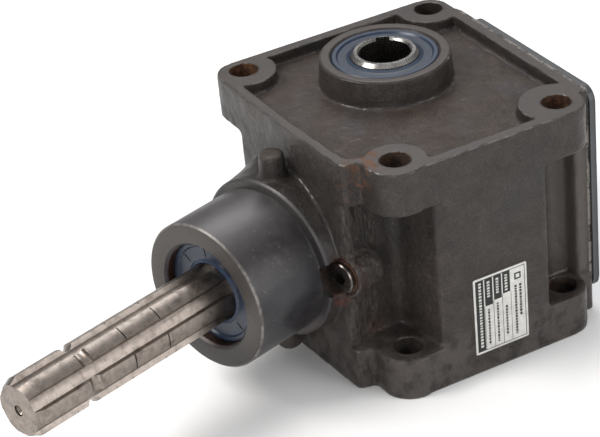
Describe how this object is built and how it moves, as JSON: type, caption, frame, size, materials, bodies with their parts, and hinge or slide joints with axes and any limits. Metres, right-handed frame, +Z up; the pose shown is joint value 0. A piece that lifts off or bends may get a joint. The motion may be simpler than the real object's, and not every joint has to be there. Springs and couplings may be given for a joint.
{
  "type": "right angle bevel gearbox",
  "caption": "Cast iron right angle bevel gearbox with a splined input shaft on a slanted snout, a hollow keyed output shaft, and bolting ears above and below",
  "frame": {"origin": "where the input shaft axis crosses the hollow output shaft axis", "axes": "+Z up along the hollow output shaft; -Y towards the input snout, which leans 16.5 degrees towards +X; +X towards the nameplate face"},
  "size_m": [0.1821, 0.3664, 0.157],
  "materials": {
    "cast_housing": "as-cast, oiled dark grey-brown, machined ear faces",
    "cover_steel": "dark blue-grey oiled plate, satin",
    "gasket_paper": "dark gasket sheet, matte",
    "screw_steel": "blackened steel, satin",
    "plug_steel": "zinc-plated steel, semi-bright",
    "seal_ring_metal": "soft washer, dull",
    "plate_metal": "satin silver label plate",
    "bearing_steel": "ground bearing steel",
    "cage_brass": "pressed cage",
    "clip_steel": "phosphated spring steel",
    "seal_rubber": "dark teal-blue nitrile, satin",
    "gear_steel": "cut and hardened steel",
    "shaft_steel": "turned and milled bright steel",
    "tube_steel": "turned steel tube"
  },
  "bodies": {
    "housing_assembly": {"housing": "cast_housing", "rear_cover": "cover_steel", "cover_gasket": "gasket_paper", "cover_screws": "screw_steel", "level_plug": "plug_steel", "filler_plug": "plug_steel", "drain_plug": "plug_steel", "plug_washers": "seal_ring_metal", "nameplate": "plate_metal", "input_rear_bearing_outer_ring": "bearing_steel", "input_front_bearing_outer_ring": "bearing_steel", "upper_bearing_outer_ring": "bearing_steel", "lower_bearing_outer_ring": "bearing_steel", "input_spacer_tube": "tube_steel", "input_bore_circlip": "clip_steel", "upper_bore_circlip": "clip_steel", "lower_bore_circlip": "clip_steel", "input_seal": "seal_rubber", "input_seal_spring": "clip_steel", "upper_seal": "seal_rubber", "upper_seal_spring": "clip_steel", "lower_seal": "seal_rubber", "lower_seal_spring": "clip_steel"},
    "input_shaft_assembly": {"input_shaft": "shaft_steel", "bevel_pinion": "gear_steel", "pinion_key": "gear_steel", "pinion_circlip": "clip_steel", "input_rear_bearing_inner_ring": "bearing_steel", "input_front_bearing_inner_ring": "bearing_steel"},
    "output_shaft_assembly": {"output_shaft": "shaft_steel", "bevel_gear": "gear_steel", "gear_keys": "gear_steel", "gear_spacer": "tube_steel", "upper_bearing_inner_ring": "bearing_steel", "lower_bearing_inner_ring": "bearing_steel"},
    "input_rear_bearing_ball_set": {"input_rear_bearing_balls": "bearing_steel", "input_rear_bearing_cage": "cage_brass"},
    "input_front_bearing_ball_set": {"input_front_bearing_balls": "bearing_steel", "input_front_bearing_cage": "cage_brass"},
    "upper_bearing_ball_set": {"upper_bearing_balls": "bearing_steel", "upper_bearing_cage": "cage_brass"},
    "lower_bearing_ball_set": {"lower_bearing_balls": "bearing_steel", "lower_bearing_cage": "cage_brass"}
  },
  "joints": [
    {"name": "output_shaft_spin", "type": "hinge", "parent": "housing_assembly", "child": "output_shaft_assembly", "pos_m": [0, 0, 0], "axis": [0, 0, 1], "continuous": true},
    {"name": "input_shaft_spin", "type": "hinge", "parent": "housing_assembly", "child": "input_shaft_assembly", "pos_m": [0, 0, 0], "axis": [0.284, -0.9588, 0], "continuous": true},
    {"name": "input_rear_bearing_ball_set_spin", "type": "hinge", "parent": "housing_assembly", "child": "input_rear_bearing_ball_set", "pos_m": [0, 0, 0], "axis": [0.284, -0.9588, 0], "continuous": true},
    {"name": "input_front_bearing_ball_set_spin", "type": "hinge", "parent": "housing_assembly", "child": "input_front_bearing_ball_set", "pos_m": [0, 0, 0], "axis": [0.284, -0.9588, 0], "continuous": true},
    {"name": "upper_bearing_ball_set_spin", "type": "hinge", "parent": "housing_assembly", "child": "upper_bearing_ball_set", "pos_m": [0, 0, 0], "axis": [0, 0, 1], "continuous": true},
    {"name": "lower_bearing_ball_set_spin", "type": "hinge", "parent": "housing_assembly", "child": "lower_bearing_ball_set", "pos_m": [0, 0, 0], "axis": [0, 0, 1], "continuous": true}
  ],
  "couplings": [
    {"joint": "input_shaft_spin", "follows": "output_shaft_spin", "ratio": 1.5294},
    {"joint": "input_rear_bearing_ball_set_spin", "follows": "output_shaft_spin", "ratio": 0.60645},
    {"joint": "input_front_bearing_ball_set_spin", "follows": "output_shaft_spin", "ratio": 0.63951},
    {"joint": "upper_bearing_ball_set_spin", "follows": "output_shaft_spin", "ratio": 0.43382},
    {"joint": "lower_bearing_ball_set_spin", "follows": "output_shaft_spin", "ratio": 0.43382}
  ]
}
